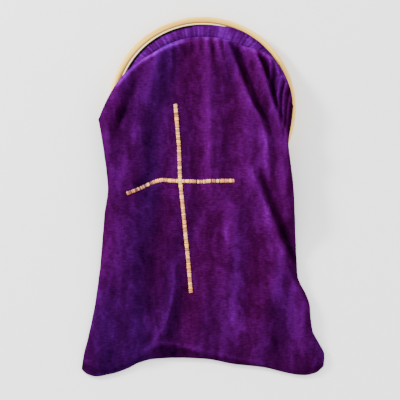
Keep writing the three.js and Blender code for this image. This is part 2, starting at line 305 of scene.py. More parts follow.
def start_pleats(x, y):
    """The height of the pleats under the gathers. They run down and lean outwards a little."""
    total = np.zeros_like(x)
    for degrees, length, height, width in START_PLEATS:
        start_x, start_y = polar(front_edge(degrees), degrees)
        depth = start_y - y
        lean = 0.22 * math.cos(math.radians(degrees)) + 0.08
        off = x - start_x - lean * depth
        spread = width + 0.05 * np.maximum(depth, 0)
        fading = 1 - smooth(depth, 0.3 * length, length)
        total += height * np.exp(-((off / spread) ** 2)) * fading * (depth > -6)
    return 0.55 * total


# ---- Heights -----------------------------------------------------------------

# How high the cloth lies over the table away from its edges, and at the side seams, as (y, z) points.
front_middle = curve(
    (76, 14.5), (58, 18.5), (25, 21), (-30, 22), (-70, 23.5), (-92, 24), (-104, 22), (-120, 16.5), (-136, 13),
    (-165, 12), (-205, 11.5), (-240, 9.5), (-258, 7.5), (-274, 3.6),
)
back_middle = curve((-60, 13.6), (-99, 13.6), (-112, 8), (-126, 2.2), (-134, 1.2), (-275, 1.2))
seam_height = curve(
    (72, 10.6), (58, 11.2), (42, 13.4), (28, 14.8), (-99, 15.2), (-116, 9.5), (-132, 4.5), (-160, 3.2),
    (-275, 2.2),
)


def rounded(q):
    """A quarter circle: 0 at 0, 1 from 1, and steep at 0."""
    return np.sqrt(np.clip(1 - (1 - np.clip(q, 0, 1)) ** 2, 0, 1))


ROLL = 9.0  # how far from an edge the cloth has rolled up to its full height
HALF_WIDTH = 100  # of the pouch, about
HEM_HEIGHT = 2.4  # of the hem over the table


def edge_distances(u, xy, top):
    """About how far each point is from the sides and from the top edge."""
    side = (1 - np.abs(u)) * HALF_WIDTH
    return side, np.linalg.norm(xy - top(u), axis=-1)


def front_heights(u, v, xy):
    """How high each point of the front lies over the table. Past its turn, by the hem, it lies flatter."""
    x, y = xy[..., 0], xy[..., 1]
    side, down = edge_distances(u, xy, front_top)
    degrees = np.degrees(np.arctan2(y, x))
    edge = seam_height(y)
    full = front_middle(y) + fold_height(x, y, FOLDS, FOLD_FADE) + side_pleats(x, y) + start_pleats(x, y)
    full += 1.1 * waves(x, y, 34, 3) + 0.35 * waves(x, y, 13, 4, stretch=2.2)
    full += 1.5 * puckers(degrees, down, 5) * smooth(y, -20, 20)
    full = np.maximum(full, back_middle(y) + 3)
    over = rounded(side / ROLL) * rounded((down + 0.4) / ROLL)
    past_turn = turn_line(x) - y
    flattened = 1 - 0.72 * smooth(past_turn, -3.0, 2.5)
    pressed = 1 - 0.6 * smooth(v, 0.975, 1.0)
    turned = HEM_HEIGHT + (full - HEM_HEIGHT) * flattened * pressed
    full = np.where(y < TURN_TOP, turned, full)
    return edge + (full - edge) * over


def back_heights(u, v, xy):
    """The same for the back, which dips a little where it meets the gathers."""
    x, y = xy[..., 0], xy[..., 1]
    side, down = edge_distances(u, xy, back_top)
    edge = seam_height(y)
    full = back_middle(y) + 0.35 * (1 + waves(x, y, 26, 8))
    height = edge + (full - edge) * rounded(side / ROLL)
    return height - 2.4 * np.exp(-down / 1.5)


# ---- Mesh making -------------------------------------------------------------


def to_frame(points):
    """Millimetres from the hoop's centre, as metres in the row frame."""
    return (np.asarray(points, float) + np.array([0, HOOP_Y, 0])) * MM


def make(name, points, faces, rest=None):
    """A smooth mesh object. rest is each point's place in its material's pattern, if not its own place."""
    mesh = bpy.data.meshes.new(name)
    mesh.from_pydata(to_frame(points).tolist(), [], faces)
    mesh.update()
    attribute = mesh.attributes.new("rest", "FLOAT_VECTOR", "POINT")
    values = np.asarray(points if rest is None else rest, np.float32)
    attribute.data.foreach_set("vector", values.ravel())
    mesh.polygons.foreach_set("use_smooth", [True] * len(mesh.polygons))
    made = bpy.data.objects.new(name, mesh)
    bpy.context.scene.collection.objects.link(made)
    return made


def mark(piece, name, values):
    """A number on each of a piece's points, for its material."""
    attribute = piece.data.attributes.new(name, "FLOAT", "POINT")
    attribute.data.foreach_set("value", np.asarray(values, np.float32).ravel())


def grid_faces(rows, columns, closed_rows=False, closed_columns=False):
    """Faces of a grid whose points run along its columns first."""
    faces = []
    for i in range(rows if closed_rows else rows - 1):
        for j in range(columns if closed_columns else columns - 1):
            a, b = i * columns + j, i * columns + (j + 1) % columns
            below = (i + 1) % rows * columns
            faces.append((a, below + j, below + (j + 1) % columns, b))
    return faces


def thicken(piece, millimetres, offset=-1.0):
    """Gives a sheet its thickness: on the side behind its faces for an offset of -1, in front for 1."""
    made = piece.modifiers.new("thickness", "SOLIDIFY")
    made.thickness = millimetres * MM
    made.offset = offset
    made.use_even_offset = False
    return piece


def cloth_grid(columns, rows):
    """u and v of a cloth's points: closer together at the sides and at the mouth."""
    s = np.linspace(-1, 1, columns)
    u = s + 0.10 * np.sin(np.pi * s) / np.pi
    v = np.linspace(0, 1, rows) ** 1.15
    return np.meshgrid(u, v)


CURL_ROWS = 12


def curl(degrees, first_row):
    """Rows of cloth from between the header's lips, at those angles, over its top to the first row."""
    ripple = 0.5 * np.sin(PLEATS * np.radians(degrees))
    start = polar(GATHER_RADIUS + 1.6, degrees)
    throat = polar(GATHER_RADIUS - 1.0 + ripple, degrees)
    rows = []
    for t in np.linspace(0, 1, CURL_ROWS, endpoint=False):
        leave = float(smooth(t, 0, 0.3))
        out = float(smooth(t, 0.3, 1.05))
        place = start + (throat - start) * leave
        place = place + (first_row[:, :2] - place) * out
        z = GATHER_MIDDLE + (HEADER_TOP + 1.6 - GATHER_MIDDLE) * float(smooth(t, 0.1, 0.62))
        z = z + (first_row[:, 2] - z) * float(smooth(t, 0.55, 1.05))
        rows.append(np.column_stack([place, z]))
    return np.array(rows)


def front_curl(u, first_row):
    """The front's curl. It leaves the header from 197 degrees on the left round to -12 on the right."""
    return curl(197 - 209 * (u + 1) / 2, first_row)


def back_curl(u, first_row):
    """The back's curl. It leaves the header from 195 degrees round the near side to 349."""
    return curl(195 + 154 * (u + 1) / 2, first_row)


def pouch_grid(columns, rows, top, heights):
    """A cloth's u, and its points below its top edge, as rows of columns."""
    u, v = cloth_grid(columns, rows)
    xy = plan(u, v, top)
    return u, np.concatenate([xy, heights(u, v, xy)[..., None]], -1)


def lowest_nearby(z, reach):
    """The lowest height within that many rows and columns of each point."""
    for _ in range(reach):
        wide = np.pad(z, 1, mode="edge")
        rows, columns = z.shape
        shifts = [wide[i : i + rows, j : j + columns] for i in range(3) for j in range(3)]
        z = np.min(shifts, axis=0)
    return z


def throat_gathers(points):
    """Soft gathers of the lining, from 0 to 1, that fade away from the throat."""
    x, y = points[..., 0], points[..., 1]
    angle = np.arctan2(y, x)
    away = np.abs(GATHER_RADIUS - np.hypot(x, y))
    return (0.5 + 0.5 * np.sin(38 * angle + np.sin(7 * angle))) * np.exp(-away / 14)


def lining_grid(points, side, gap, trim):
    """A lining's points, a gap below the front's folds (side 1) or above the back's (side -1).

    trim is how many rows it is short of the cloth at the top and at the hem, and columns at each side. It
    has half the cloth's rows and columns.
    """
    depth = gap + 0.9 * throat_gathers(points)
    z = side * (lowest_nearby(side * points[..., 2], 3) - depth)
    inner = np.dstack([points[..., :2], z])
    top, hem, ends = trim
    return inner[top:-hem:2, ends:-ends:2]


# Lighter (above 0) or darker patches, partly the crushed pile's own tone and partly painted light and shade:
# x, y, reach across, reach along, strength.
PILE_AND_PAINTED_LIGHT_PATCHES = [
    (7, 58, 5, 24, 0.04), (7, -10, 5, 34, 0.08), (10, -66, 5, 26, 0.08), (25, -125, 7, 13, 0.17),
    (17, -178, 5, 14, 0.08), (27, -228, 10, 12, 0.14), (38, -210, 8, 30, -0.07), (74, -190, 6, 16, 0.14),
    (45, -50, 9, 40, 0.10), (62, -40, 4, 26, 0.12), (45, 58, 9, 12, 0.08), (-45, 4, 10, 44, 0.09),
    (-52, 54, 9, 10, 0.16), (-76, 24, 6, 18, 0.16), (-84, 14, 6, 12, 0.06), (-92, -225, 14, 36, -0.09),
    (-88, -125, 7, 40, 0.06), (-100, -252, 14, 14, -0.07), (101, -205, 5, 12, 0.16), (-5, -110, 9, 60, 0.04),
    (-32, -112, 9, 26, 0.06), (80, -62, 5, 22, 0.12), (79, -155, 5, 14, 0.16), (-75, -200, 7, 44, -0.09),
    (25, -166, 6, 12, -0.15), (-60, -8, 6, 16, -0.13), (60, -90, 7, 30, 0.08), (-60, -152, 9, 36, -0.15),
    (-74, -43, 6, 12, -0.10), (-60, -86, 7, 12, -0.12), (52, -78, 6, 18, 0.15), (52, -118, 7, 16, 0.10),
    (66, -115, 6, 10, 0.12), (65, -34, 5, 12, 0.13), (79, -78, 5, 12, 0.12), (93, -187, 5, 8, 0.12),
    (38, -227, 5, 8, 0.16), (80, -130, 4, 8, -0.16), (-32, 43, 5, 8, 0.13), (24, -4, 5, 10, 0.13),
    (22, -100, 6, 10, 0.13), (-16, -98, 5, 12, 0.10), (65, 0, 4, 7, -0.10), (9, 1, 3, 7, -0.08),
    (-88, -78, 6, 24, 0.12), (-60, -64, 5, 10, 0.12), (-4, -36, 5, 10, 0.12), (52, -28, 5, 16, 0.12),
    (82, -115, 4, 7, 0.13), (66, -144, 5, 7, 0.13), (-88, -187, 6, 10, -0.14), (-54, -238, 8, 7, -0.12),
    (-46, 28, 5, 8, 0.10), (66, -74, 4, 6, 0.12), (51, 43, 5, 7, -0.14), (-74, 28, 4, 7, 0.12),
    (52, -88, 4, 7, -0.12), (-74, -87, 5, 7, 0.11), (108, -243, 6, 8, 0.11),
]


def nap_and_painted_light(points):
    """How light the velvet is at each point, from 0 to 1, much of it painted light and shade.

    It is painted lighter on ridges and darker in valleys as painted shade, lighter or darker in patches of
    crushed pile and painted light and shade, and it has painted highlights along the front's top edges and at
    the hem's turn, with painted shade past the turn.
    """
    x, y = points[..., 0], points[..., 1]
    # Painted shade and light: darker in fold valleys, lighter on fold ridges and pleats.
    light = 0.30 + 0.037 * fold_height(x, y, FOLDS, FOLD_FADE)
    light = light + 0.12 * side_pleats(x, y) + 0.14 * start_pleats(x, y)
    ragged = 1 + 0.35 * waves(x, y, 11, 21, stretch=2.5)
    for centre_x, centre_y, reach_x, reach_y, strength in PILE_AND_PAINTED_LIGHT_PATCHES:
        far = ((x - centre_x) / reach_x) ** 2 + ((y - centre_y) / reach_y) ** 2
        light = light + strength * np.exp(-far * ragged)
    light += 0.04 * waves(x, y, 30, 22, stretch=4) + 0.03 * waves(x, y, 9, 23, stretch=4)
    degrees, radius = np.degrees(np.arctan2(y, x)), np.hypot(x, y)
    from_edge = front_edge(np.clip(degrees, 0, LEFT_CORNER)) - radius
    # Painted highlight along the front's top edge under the gathers.
    top_edge_painted_light = 0.22 * smooth(y, 44, 60) * (1 - smooth(degrees, 112, 130))
    light += top_edge_painted_light * np.exp(-((from_edge / 4.0) ** 2))
    # Painted highlight along the rolled top edge on the left.
    rolled = smooth(degrees, 96, 118) * (1 - smooth(degrees, 163, 172))
    light += 0.40 * rolled * np.exp(-(((from_edge - 2.4) / 2.4) ** 2))
    # Painted highlight along the front's edge by the wood on the right.
    painted_light_by_wood = smooth(degrees, 8, 20) * (1 - smooth(degrees, 40, 50))
    light += 0.30 * painted_light_by_wood * np.exp(-(((from_edge - 3) / 4.0) ** 2))
    # Painted shade on the strip past the turn, and a painted highlight along the turn.
    past_turn = turn_line(x) - y
    light -= 0.12 * smooth(past_turn, -2, 2) * (y < TURN_TOP)
    light += 0.10 * np.exp(-(((past_turn + 2) / 2.0) ** 2)) * (y < TURN_TOP) * (np.abs(x) < 62)
    return np.clip(light, 0, 1)


def blueness(points):
    """Where the velvet turns bluish: down its left half and along the hem, most at the hem's corners."""
    x, y = points[..., 0], points[..., 1]
    centre = -58 + 0.06 * (y + 100)
    blue = 0.06 + 0.45 * np.exp(-(((x - centre) / 24) ** 2)) + 0.2 * waves(x, y, 40, 31, stretch=2.5)
    blue += smooth(-y, 150, 235) * (0.14 + 0.28 * np.exp(-(((x + 92) / 28) ** 2)))
    blue += 0.25 * np.exp(-(((x - 106) / 14) ** 2) - ((y + 220) / 34) ** 2)
    return np.clip(blue, 0, 1)


def cloth(name, points, thickness, offset):
    """A piece of cloth from its rows of points."""
    rows, columns = points.shape[:2]
    piece = make(name, points.reshape(-1, 3), grid_faces(rows, columns))
    mark(piece, "nap_and_painted_light", nap_and_painted_light(points))
    mark(piece, "blue", blueness(points))
    return thicken(piece, thickness, offset)


# ---- Materials ---------------------------------------------------------------


class Nodes:
    """A short way to build a node tree."""

    def __init__(self, name):
        self.material = bpy.data.materials.new(name)
        self.material.use_nodes = True
        self.tree = self.material.node_tree
        self.shader = next(n for n in self.tree.nodes if n.type == "BSDF_PRINCIPLED")

    def add(self, kind, values=None, **settings):
        node = self.tree.nodes.new(kind)
        for key, value in settings.items():
            setattr(node, key, value)
        for key, value in (values or {}).items():
            self.set(node.inputs[key], value)
        return node

    def set(self, socket, value):
        if isinstance(value, bpy.types.NodeSocket):
            self.tree.links.new(value, socket)
        else:
            socket.default_value = value

    def rest(self, scale):
        """The piece's pattern place in millimetres, multiplied by scale (x, y, z)."""
        at = self.add("ShaderNodeAttribute", attribute_name="rest").outputs["Vector"]
        return self.add("ShaderNodeVectorMath", {0: at, 1: scale}, operation="MULTIPLY").outputs[0]

    def noise(self, scale, detail, rough, distortion=0.0):
        values = {"Vector": self.rest(scale), "Scale": 1.0, "Detail": detail, "Roughness": rough}
        values["Distortion"] = distortion
        return self.add("ShaderNodeTexNoise", values).outputs["Fac"]

    def ramp(self, value, *stops):
        """A colour for each value, from stops of (position, colour)."""
        node = self.add("ShaderNodeValToRGB", {"Fac": value})
        while len(node.color_ramp.elements) < len(stops):
            node.color_ramp.elements.new(0.5)
        for element, (position, colour) in zip(node.color_ramp.elements, stops):
            element.position = position
            element.color = (*colour, 1)
        return node.outputs["Color"]

    def mix(self, factor, a, b, blend="MIX"):
        node = self.add("ShaderNodeMix", data_type="RGBA", blend_type=blend)
        for socket, value in zip([node.inputs[0], node.inputs[6], node.inputs[7]], [factor, a, b]):
            self.set(socket, value)
        return node.outputs[2]

    def math(self, operation, a, b):
        return self.add("ShaderNodeMath", {0: a, 1: b}, operation=operation).outputs[0]

    def bump(self, height, strength, distance, normal=None):
        values = {"Height": height, "Strength": strength, "Distance": distance}
        if normal is not None:
            values["Normal"] = normal
        return self.add("ShaderNodeBump", values).outputs["Normal"]

    def finish(self, **sockets):
        """Sets the shader's sockets, whose names have _ for each space."""
        for key, value in sockets.items():
            self.set(self.shader.inputs[key.replace("_", " ")], value)
        return self.material


def rgb(r, g, b):
    """A linear colour from one given in 0 to 255."""
    return tuple(c / 255 / 12.92 if c <= 10 else ((c / 255 + 0.055) / 1.055) ** 2.4 for c in (r, g, b))


def grey(value):
    """The same value for red, green and blue."""
    return (value,) * 3


def velvet(name):
    """Crushed velvet, lighter or darker as its piece's marks of pile tone and painted light and shade say,
    and bluer as they say.
    """
    n = Nodes(name)
    # This mark holds painted light and shade as well as the pile's own tone.
    pile_and_painted_light = n.add("ShaderNodeAttribute", attribute_name="nap_and_painted_light").outputs["Fac"]
    blue = n.add("ShaderNodeAttribute", attribute_name="blue").outputs["Fac"]
    crush = n.noise((0.10, 0.055, 0.09), 5, 0.6, 0.7)
    streaks = n.noise((0.42, 0.15, 0.35), 4, 0.65, 0.25)
    ribs = n.noise((0.22, 0.85, 0.4), 2, 0.5, 0.1)
    grain = n.noise((1.9, 1.5, 1.9), 3, 0.6)
    light = pile_and_painted_light
    for layer, share in ((crush, 0.50), (streaks, 0.18), (ribs, 0.36), (grain, 0.32)):
        light = n.math("ADD", light, n.math("MULTIPLY", n.math("SUBTRACT", layer, 0.5), share))
    red_side = n.ramp(
        light, (0.0, rgb(12, 0, 13)), (0.3, rgb(44, 0, 43)), (0.55, rgb(68, 0, 78)),
        (0.8, rgb(98, 0, 128)), (1.0, rgb(132, 10, 168)),
    )
    blue_side = n.ramp(
        light, (0.0, rgb(10, 0, 24)), (0.3, rgb(34, 0, 56)), (0.55, rgb(52, 0, 92)),
        (0.8, rgb(76, 0, 134)), (1.0, rgb(112, 10, 176)),
    )
    normal = n.bump(crush, 0.25, 0.0014)
    for layer, strength, distance in ((streaks, 0.25, 0.0005), (ribs, 0.3, 0.0003), (grain, 0.4, 0.0003)):
        normal = n.bump(layer, strength, distance, normal)
    return n.finish(
        Base_Color=n.mix(blue, red_side, blue_side),
        Normal=normal,
        Roughness=n.ramp(crush, (0.3, grey(0.95)), (0.7, grey(0.75))),
        Sheen_Weight=0.05,
        Sheen_Roughness=0.3,
        Sheen_Tint=(0.7, 0.0, 0.8, 1),
        Specular_IOR_Level=0.0,
    )


def satin(name, colour, sheen=0.2):
    """Plain woven cloth or cord of that colour."""
    n = Nodes(name)
    weave = n.noise((1.6, 0.3, 1.0), 2, 0.5)
    soft = n.noise((0.05, 0.03, 0.05), 3, 0.5)
    shade = n.ramp(soft, (0.3, tuple(c * 0.7 for c in colour)), (0.7, tuple(c * 1.25 for c in colour)))
    thread = n.ramp(weave, (0.3, grey(0.8)), (0.7, grey(1.15)))
    return n.finish(
        Base_Color=n.mix(1.0, shade, thread, "MULTIPLY"),
        Roughness=n.ramp(soft, (0.3, grey(0.36)), (0.7, grey(0.52))),
        Normal=n.bump(weave, 0.3, 0.0003),
        Sheen_Weight=sheen,
        Sheen_Roughness=0.4,
        Specular_IOR_Level=1.2 * sheen,
    )


def wood(name, light, middle, line, painted_shade_colour):
    """Bentwood, with its pattern along the band and painted shade towards its inner side and outer edge. out
    is 0 at the band's inner side and 1 at its outer.
    """
    n = Nodes(name)
    fibres = n.noise((0.018, 1.3, 1.1), 5, 0.6, 0.4)
    bands = n.noise((0.006, 0.32, 0.28), 3, 0.5, 0.8)
    pores = n.noise((0.12, 3.2, 3.0), 3, 0.7)
    colour = n.ramp(bands, (0.32, middle), (0.52, light), (0.74, middle))
    colour = n.mix(n.ramp(fibres, (0.5, grey(0)), (0.68, grey(0.55))), colour, (*line, 1))
    colour = n.mix(n.ramp(pores, (0.60, grey(0)), (0.74, grey(0.35))), colour, (*line, 1))
    out = n.add("ShaderNodeAttribute", attribute_name="out").outputs["Fac"]
    # Painted shade: darkest at the band's inner side, and darker again at its outer edge.
    painted_shade_amount = n.ramp(
        out, (0.0, grey(0.9)), (0.12, grey(0.7)), (0.24, grey(0.3)), (0.42, grey(0.2)), (0.6, grey(0)),
        (0.85, grey(0.05)), (1.0, grey(0.45)),
    )
    colour = n.mix(painted_shade_amount, colour, (*painted_shade_colour, 1))
    normal = n.bump(fibres, 0.25, 0.0004)
    normal = n.bump(pores, 0.2, 0.0002, normal)
    return n.finish(
        Base_Color=colour,
        Roughness=n.ramp(fibres, (0.3, grey(0.38)), (0.7, grey(0.55))),
        Normal=normal,
        Coat_Weight=0.15,
        Coat_Roughness=0.35,
    )


def metallic_thread(name):
    """Gold thread, from the dark of its gaps to its brightest, as its piece's marks say."""
    n = Nodes(name)
    shade = n.add("ShaderNodeAttribute", attribute_name="shade").outputs["Fac"]
    colour = n.ramp(
        shade, (0.0, rgb(60, 14, 44)), (0.3, rgb(190, 108, 60)), (0.7, rgb(236, 160, 92)),
        (1.0, rgb(255, 206, 96)),
    )
    twist = n.noise((2.2, 2.2, 2.2), 2, 0.5)
    return n.finish(
        Base_Color=colour,
        Metallic=0.35,
        Roughness=n.ramp(twist, (0.3, grey(0.28)), (0.7, grey(0.5))),
        Normal=n.bump(twist, 0.4, 0.0003),
        Sheen_Weight=0.2,
    )


VELVET = velvet("crushed_velvet")
LINING = satin("plum_satin", rgb(64, 6, 84), sheen=0.05)
# The binding's near-black paints the shadow where the header meets the inner band.
BINDING_PAINTED_SHADOW = satin("binding_painted_shadow", rgb(9, 3, 11), sheen=0.03)
THREAD = satin("purple_thread", rgb(48, 4, 58), sheen=0.05)
FILLER = satin("filler_cord", rgb(196, 186, 168))
BAND_WOOD = wood("band_wood", rgb(252, 208, 76), rgb(228, 174, 52), rgb(176, 116, 30), rgb(140, 88, 22))
INNER_WOOD = wood("inner_wood", rgb(246, 220, 170), rgb(236, 200, 142), rgb(200, 156, 98), rgb(176, 128, 66))
BRAID = metallic_thread("gold_thread")


def paint(piece, material):
    """Gives a piece its material."""
    piece.data.materials.clear()
    piece.data.materials.append(material)


# ---- Hoop --------------------------------------------------------------------

TURNS = 240  # steps round a ring
GRAIN_START = math.radians(-100)  # where the pattern along the wood starts and ends, under the pouch


def round_centre(r, angle, z):
    """Points round the hoop's centre: a row for each angle, with its radii and heights."""
    x, y = r * np.cos(angle)[:, None], r * np.sin(angle)[:, None]
    return np.stack([x, y, np.broadcast_to(z, r.shape)], -1)


def ring_band(name, section, wobble=0.0):
    """A ring with a closed section of (radius, z) points. rest runs along, across and up the band."""
    radius, height = np.array(section, float).T
    angle = np.arange(TURNS) * 2 * np.pi / TURNS + GRAIN_START
    shift = wobble * (np.sin(9 * angle + 1) + np.sin(23 * angle) * 0.6)[:, None]
    r = radius[None, :] + shift
    points = round_centre(r, angle, height)
    along = np.broadcast_to(((angle - GRAIN_START) * radius.mean())[:, None], r.shape)
    rest = np.stack([along, np.broadcast_to(radius, r.shape), np.broadcast_to(height, r.shape)], -1)
    faces = grid_faces(TURNS, len(section), closed_rows=True, closed_columns=True)
    piece = make(name, points.reshape(-1, 3), faces, rest.reshape(-1, 3))
    out = (radius - radius.min()) / (radius.max() - radius.min())
    mark(piece, "out", np.broadcast_to(out, r.shape))
    return piece


def soft_rectangle(inside, outside, low, high, corner, per_corner):
    """A ring's section: a rectangle with round corners, its outer side going up."""
    points = []
    centres = [
        (outside - corner, low + corner, -90),
        (outside - corner, high - corner, 0),
        (inside + corner, high - corner, 90),
        (inside + corner, low + corner, 180),
    ]
    for r, z, start in centres:
        for k in range(per_corner):
            angle = math.radians(start + 90 * k / (per_corner - 1))
            points.append((r + corner * math.cos(angle), z + corner * math.sin(angle)))
    return points


def make_hoop():
    """The outer and inner bands, and the near-black binding between the inner band and the header, whose
    black paints the shadow there.
    """
    thick = soft_rectangle(INNER_RADIUS + GAP, HOOP_RADIUS, 0, HOOP_HEIGHT, corner=2.6, per_corner=7)
    outer = ring_band("hoop_outer", thick)
    paint(outer, BAND_WOOD)
    low_top = HOOP_HEIGHT - 0.2
    thin = soft_rectangle(BINDING_RADIUS + GAP, INNER_RADIUS, 0, low_top, corner=0.6, per_corner=4)
    inner = ring_band("hoop_inner", thin)
    paint(inner, INNER_WOOD)
    high_top = HOOP_HEIGHT + 0.3
    strip = soft_rectangle(BINDING_RADIUS - 1.4, BINDING_RADIUS, 0.3, high_top, corner=0.6, per_corner=4)
    binding = ring_band("binding", strip, wobble=0.07)
    paint(binding, BINDING_PAINTED_SHADOW)
    for piece, node in ((outer, "hoop_outer_band"), (inner, "hoop_inner_band"), (binding, "mouth_binding")):
        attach(piece, "hoop")
        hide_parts(node)


def make_header():
    """The puckered hem round its roll: a channel that is open at the gathers.

    Its wall bulges out against the binding, and its top covers the binding and the inner band on the right.
    """
    steps, low, top = 1080, 0.6, HEADER_TOP + 1.0
    outside, inside = HEADER_RADIUS - 0.2, GATHER_RADIUS + 0.6
    section = [(inside, GATHER_MIDDLE - 0.9), (inside + 0.4, low + 2.2)]
    section += [
        (inside + (outside - inside) * t, low + 0.9 * (1 - math.sin(math.pi * t)))
        for t in (0.12, 0.3, 0.5, 0.7, 0.86)
    ]
    section += [(outside, low + 1.6), (outside + 0.8, 5)]
    section += [(outside, HEADER_TOP - 2.6), (outside, HEADER_TOP - 1.1)]
    section += [
        (outside + (inside - outside) * t, top - 3.4 * abs(2 * t - 0.9) ** 2.4)
        for t in (0.02, 0.07, 0.14, 0.22, 0.3, 0.4, 0.5, 0.6, 0.7, 0.8, 0.88, 0.95)
    ]
    section += [(inside, GATHER_MIDDLE + 0.9)]
    radius, height = np.array(section).T
    angle = np.arange(steps) * 2 * np.pi / steps
    pinch = puckers(np.degrees(angle), 0, 5)[:, None]
    inward = np.clip((outside - radius) / (outside - inside), 0, 1)[None, :]
    upper = np.where(height > 5, 1.0, -0.6)[None, :]
    # On the right its outer edge is proud: it puffs out over the binding and the inner band.
    proud = (1 - inward) ** 3 * smooth(np.cos(angle - 0.55), 0.32, 0.92)[:, None]
    out = (INNER_RADIUS - 0.1 - outside) * proud * smooth(height, HEADER_TOP - 2.4, HEADER_TOP - 1.1)
    lift = np.where(height > 11.9, 1.0, np.clip(HOOP_HEIGHT + 0.7 - height, 0, 2)) * (height > 9) * proud
    z = height[None, :] + lift + pinch * upper * (0.16 + 0.55 * inward**1.5)
    r = radius[None, :] + 0.3 * pinch * inward + 0.12 * np.sin(31 * angle)[:, None] + out
    points = round_centre(r, angle, np.maximum(z, 0.4))
    faces = grid_faces(steps, len(section), closed_rows=True)
    piece = make("header", points.reshape(-1, 3), faces)
    # Painted light and shade on the header: lighter on the pucker ridges and darker between them, lighter
    # over its crown and towards the gathers; the waves are the velvet's own uneven tone.
    shade = 0.52 + 0.10 * waves(points[..., 0], points[..., 1], 20, 41) + 0.14 * smooth(inward, 0.6, 1.0)
    mark(piece, "nap_and_painted_light", shade + 0.10 * pinch * upper + 0.04 * np.sin(np.pi * inward))
    mark(piece, "blue", np.full(r.shape, 0.35))
    thicken(piece, 0.9)
    paint(piece, VELVET)
    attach(piece, "hoop")
    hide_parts("mouth_header")


def tube_faces(rings, sides, base=0, backwards=False):
    """Faces of a closed tube. Its points run round each ring in turn, and start at number base."""
    quads = grid_faces(rings, sides, closed_columns=True)
    first = tuple(range(sides))
    last = tuple((rings - 1) * sides + s for s in reversed(range(sides)))
    if backwards:
        quads = [(a, d, c, b) for a, b, c, d in quads]
        first, last = first[::-1], last[::-1]
    return [tuple(base + k for k in face) for face in (*quads, first, last)]


def make_roll_and_thread():
    """The cord inside the header, and the short stitches that close the header's gathers."""
    low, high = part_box("header_roll")
    size = (high.z - low.z) / 2 / MM
    centre = (high.y - low.y) / 2 / MM - size
    middle = (high.z + low.z) / 2 / MM
    turns = np.arange(16) * 2 * np.pi / 16
    section = [(centre + size * math.cos(turn), middle + size * math.sin(turn)) for turn in turns]
    roll = ring_band("header_roll_cord", section)
    paint(roll, FILLER)
    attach(roll, "hoop")
    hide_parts("header_roll")
    stitches, faces = [], []
    count, sides = 180, 6
    for i in range(count):
        angle = (i + rng.uniform(-0.12, 0.12)) * 2 * np.pi / count
        half = 0.62 * np.pi / count
        for k, along in enumerate((-half, 0.0, half)):
            bulge = 0.5 if k == 1 else 0.18
            for s in range(sides):
                turn = s * 2 * np.pi / sides
                r = GATHER_RADIUS + 0.4 + bulge * np.cos(turn)
                x, y = r * math.cos(angle + along), r * math.sin(angle + along)
                stitches.append((x, y, middle + bulge * np.sin(turn)))
        faces += tube_faces(3, sides, i * 3 * sides, backwards=True)
    thread = make("gathering_stitches", stitches, faces)
    paint(thread, THREAD)
    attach(thread, "hoop")
    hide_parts("gathering_thread")


# ---- Pouch -------------------------------------------------------------------


def across_fold(piece):
    """Bakes a piece's transform into its mesh."""
    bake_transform(piece)


def make_pouch():
    """The velvet front and back with their linings. It gives back the front, for the cross to lie on."""
    front_u, front = pouch_grid(170, 240, front_top, front_heights)
    back_u, back = pouch_grid(120, 170, back_top, back_heights)
    front_lining = lining_grid(front, side=1, gap=2.0, trim=(10, 18, 8))
    back_lining = lining_grid(back, side=-1, gap=1.5, trim=(12, 12, 6))
    front = np.concatenate([front_curl(front_u[0], front[0]), front])
    back = np.concatenate([back_curl(back_u[0], back[0]), back])
    front_piece = cloth("front_velvet", front, thickness=1.1, offset=-1.0)
    back_piece = cloth("back_velvet", back, thickness=0.9, offset=1.0)
    front_inside = cloth("front_lining", front_lining, thickness=0.4, offset=-1.0)
    back_inside = cloth("back_lining", back_lining, thickness=0.4, offset=1.0)
    for piece, material, slot, nodes in (
        (front_piece, VELVET, "velvet", ("front_panel_upper", "front_panel_lower")),
        (back_piece, VELVET, "velvet", ("back_panel_upper", "back_panel_lower")),
        (front_inside, LINING, "lining", ("front_lining_upper", "front_lining_lower")),
        (back_inside, LINING, "lining", ("back_lining_upper", "back_lining_lower")),
    ):
        paint(piece, material)
        across_fold(piece)
        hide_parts(*nodes)
    return front_piece


def tube(name, centres, radius, sides=10):
    """A closed round roll along a line of points."""
    centres = np.asarray(centres, float)
    along = np.gradient(centres, axis=0)
    along /= np.linalg.norm(along, axis=1, keepdims=True)
    across = np.cross(along, (0, 0, 1.0))
    across /= np.linalg.norm(across, axis=1, keepdims=True)
    up = np.cross(across, along)
    radius = np.broadcast_to(radius, len(centres)).copy()
    turn = np.arange(sides) * 2 * np.pi / sides
    ring = np.cos(turn)[None, :, None] * across[:, None] + np.sin(turn)[None, :, None] * up[:, None]
    points = centres[:, None] + ring * radius[:, None, None]
    return make(name, points.reshape(-1, 3), tube_faces(len(centres), sides))


# Where the side seams and the hem's roll lie, as shares of the way from the pouch's middle or top.
SEAM_INSET = 0.993
HEM_INSET = 0.996


def paint_velvet(piece):
    """Velvet, with its pile tone and painted light and shade read at the piece's own points."""
    count = len(piece.data.vertices)
    rest = np.empty(count * 3, np.float32)
    piece.data.attributes["rest"].data.foreach_get("vector", rest)
    points = rest.reshape(-1, 3).astype(float)
    # Painted light: the seams and hem roll are painted a little lighter than the cloth beside them.
    mark(piece, "nap_and_painted_light", nap_and_painted_light(points) + 0.06)
    mark(piece, "blue", blueness(points))
    paint(piece, VELVET)


